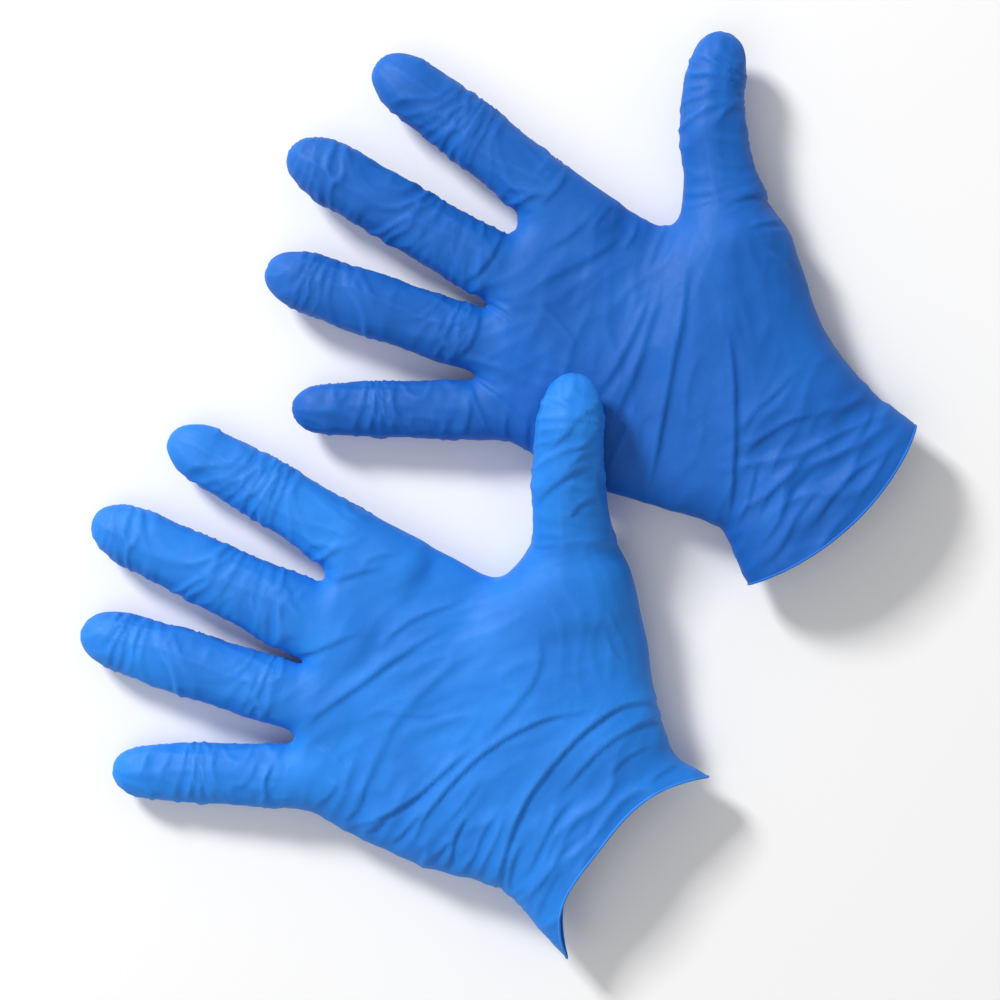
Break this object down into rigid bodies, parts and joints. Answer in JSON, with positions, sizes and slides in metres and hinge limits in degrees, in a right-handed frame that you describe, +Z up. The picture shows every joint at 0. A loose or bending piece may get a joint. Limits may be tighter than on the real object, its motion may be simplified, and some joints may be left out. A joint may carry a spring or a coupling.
{
  "type": "pair of rubber gloves",
  "caption": "Thin blue nitrile gloves for cleaning work, open at the cuff, keeping the shape of the hands, one back up and one palm up with its partner's thumb over it.",
  "frame": {"origin": "middle of the pair's bounding box, on the table the gloves lie on", "axes": "+Z up; +Y towards the fingertips; +X from the left glove towards the right glove"},
  "size_m": [0.3638, 0.2654, 0.0506],
  "materials": {
    "blue_nitrile_left": "satin",
    "blue_nitrile_right": "satin"
  },
  "bodies": {
    "left_hand": {"left_palm": "blue_nitrile_left", "left_cuff": "blue_nitrile_left", "left_cuff_bead": "blue_nitrile_left"},
    "left_thumb_base": {"left_thumb_base": "blue_nitrile_left"},
    "left_thumb_tip": {"left_thumb_tip": "blue_nitrile_left"},
    "left_index_base": {"left_index_base": "blue_nitrile_left"},
    "left_index_tip": {"left_index_tip": "blue_nitrile_left"},
    "left_middle_base": {"left_middle_base": "blue_nitrile_left"},
    "left_middle_tip": {"left_middle_tip": "blue_nitrile_left"},
    "left_ring_base": {"left_ring_base": "blue_nitrile_left"},
    "left_ring_tip": {"left_ring_tip": "blue_nitrile_left"},
    "left_little_base": {"left_little_base": "blue_nitrile_left"},
    "left_little_tip": {"left_little_tip": "blue_nitrile_left"},
    "right_hand": {"right_palm": "blue_nitrile_right", "right_cuff": "blue_nitrile_right", "right_cuff_bead": "blue_nitrile_right"},
    "right_thumb_base": {"right_thumb_base": "blue_nitrile_right"},
    "right_thumb_tip": {"right_thumb_tip": "blue_nitrile_right"},
    "right_index_base": {"right_index_base": "blue_nitrile_right"},
    "right_index_tip": {"right_index_tip": "blue_nitrile_right"},
    "right_middle_base": {"right_middle_base": "blue_nitrile_right"},
    "right_middle_tip": {"right_middle_tip": "blue_nitrile_right"},
    "right_ring_base": {"right_ring_base": "blue_nitrile_right"},
    "right_ring_tip": {"right_ring_tip": "blue_nitrile_right"},
    "right_little_base": {"right_little_base": "blue_nitrile_right"},
    "right_little_tip": {"right_little_tip": "blue_nitrile_right"}
  },
  "joints": [
    {"name": "left_glove_lift", "type": "slide", "parent": "right_hand", "child": "left_hand", "axis": [0, 0, 1], "range_m": [0, 0.08]},
    {"name": "left_thumb_root_bend", "type": "hinge", "parent": "left_hand", "child": "left_thumb_base", "pos_m": [-0.01362, -0.04521, 0.03611], "axis": [0.6626, -0.749, 0], "range_deg": [0, 40]},
    {"name": "left_thumb_middle_bend", "type": "hinge", "parent": "left_thumb_base", "child": "left_thumb_tip", "pos_m": [0.00816, -0.02823, 0.04293], "axis": [0.5175, -0.8557, 0], "range_deg": [0, 70]},
    {"name": "left_index_root_bend", "type": "hinge", "parent": "left_hand", "child": "left_index_base", "pos_m": [-0.05809, 0.03561, 0.02397], "axis": [0.9984, 0.0558, 0], "range_deg": [0, 60]},
    {"name": "left_index_middle_bend", "type": "hinge", "parent": "left_index_base", "child": "left_index_tip", "pos_m": [-0.05996, 0.06911, 0.02125], "axis": [0.9984, 0.0558, 0], "range_deg": [0, 70]},
    {"name": "left_middle_root_bend", "type": "hinge", "parent": "left_hand", "child": "left_middle_base", "pos_m": [-0.09204, 0.03656, 0.02498], "axis": [0.9914, 0.1305, 0], "range_deg": [0, 60]},
    {"name": "left_middle_middle_bend", "type": "hinge", "parent": "left_middle_base", "child": "left_middle_tip", "pos_m": [-0.0968, 0.0727, 0.02183], "axis": [0.9914, 0.1305, 0], "range_deg": [0, 70]},
    {"name": "left_ring_root_bend", "type": "hinge", "parent": "left_hand", "child": "left_ring_base", "pos_m": [-0.12113, 0.02689, 0.02327], "axis": [0.969, 0.247, 0], "range_deg": [0, 60]},
    {"name": "left_ring_middle_bend", "type": "hinge", "parent": "left_ring_base", "child": "left_ring_tip", "pos_m": [-0.12932, 0.059, 0.0211], "axis": [0.969, 0.247, 0], "range_deg": [0, 70]},
    {"name": "left_little_root_bend", "type": "hinge", "parent": "left_hand", "child": "left_little_base", "pos_m": [-0.14682, 0.00812, 0.02147], "axis": [0.8678, 0.497, 0], "range_deg": [0, 60]},
    {"name": "left_little_middle_bend", "type": "hinge", "parent": "left_little_base", "child": "left_little_tip", "pos_m": [-0.16038, 0.03179, 0.0194], "axis": [0.8678, 0.497, 0], "range_deg": [0, 70]},
    {"name": "right_thumb_root_bend", "type": "hinge", "parent": "right_hand", "child": "right_thumb_base", "pos_m": [0.13033, -0.01918, 0.0291], "axis": [0.8352, -0.55, 0], "range_deg": [0, 40]},
    {"name": "right_thumb_middle_bend", "type": "hinge", "parent": "right_thumb_base", "child": "right_thumb_tip", "pos_m": [0.14969, 0.001, 0.02735], "axis": [0.5657, -0.8246, 0], "range_deg": [0, 70]},
    {"name": "right_index_root_bend", "type": "hinge", "parent": "right_hand", "child": "right_index_base", "pos_m": [0.09535, 0.0449, 0.0237], "axis": [0.9988, -0.0489, 0], "range_deg": [0, 60]},
    {"name": "right_index_middle_bend", "type": "hinge", "parent": "right_index_base", "child": "right_index_tip", "pos_m": [0.09705, 0.0796, 0.02326], "axis": [0.9988, -0.0489, 0], "range_deg": [0, 70]},
    {"name": "right_middle_root_bend", "type": "hinge", "parent": "right_hand", "child": "right_middle_base", "pos_m": [0.06056, 0.04481, 0.0233], "axis": [0.9982, 0.0593, 0], "range_deg": [0, 60]},
    {"name": "right_middle_middle_bend", "type": "hinge", "parent": "right_middle_base", "child": "right_middle_tip", "pos_m": [0.05822, 0.0842, 0.02371], "axis": [0.9982, 0.0593, 0], "range_deg": [0, 70]},
    {"name": "right_ring_root_bend", "type": "hinge", "parent": "right_hand", "child": "right_ring_base", "pos_m": [0.03165, 0.04048, 0.0229], "axis": [0.9686, 0.2487, 0], "range_deg": [0, 60]},
    {"name": "right_ring_middle_bend", "type": "hinge", "parent": "right_ring_base", "child": "right_ring_tip", "pos_m": [0.02312, 0.07369, 0.02287], "axis": [0.9686, 0.2487, 0], "range_deg": [0, 70]},
    {"name": "right_little_root_bend", "type": "hinge", "parent": "right_hand", "child": "right_little_base", "pos_m": [0.00557, 0.02529, 0.0205], "axis": [0.8508, 0.5255, 0], "range_deg": [0, 60]},
    {"name": "right_little_middle_bend", "type": "hinge", "parent": "right_little_base", "child": "right_little_tip", "pos_m": [-0.00818, 0.04756, 0.01974], "axis": [0.8508, 0.5255, 0], "range_deg": [0, 70]}
  ]
}
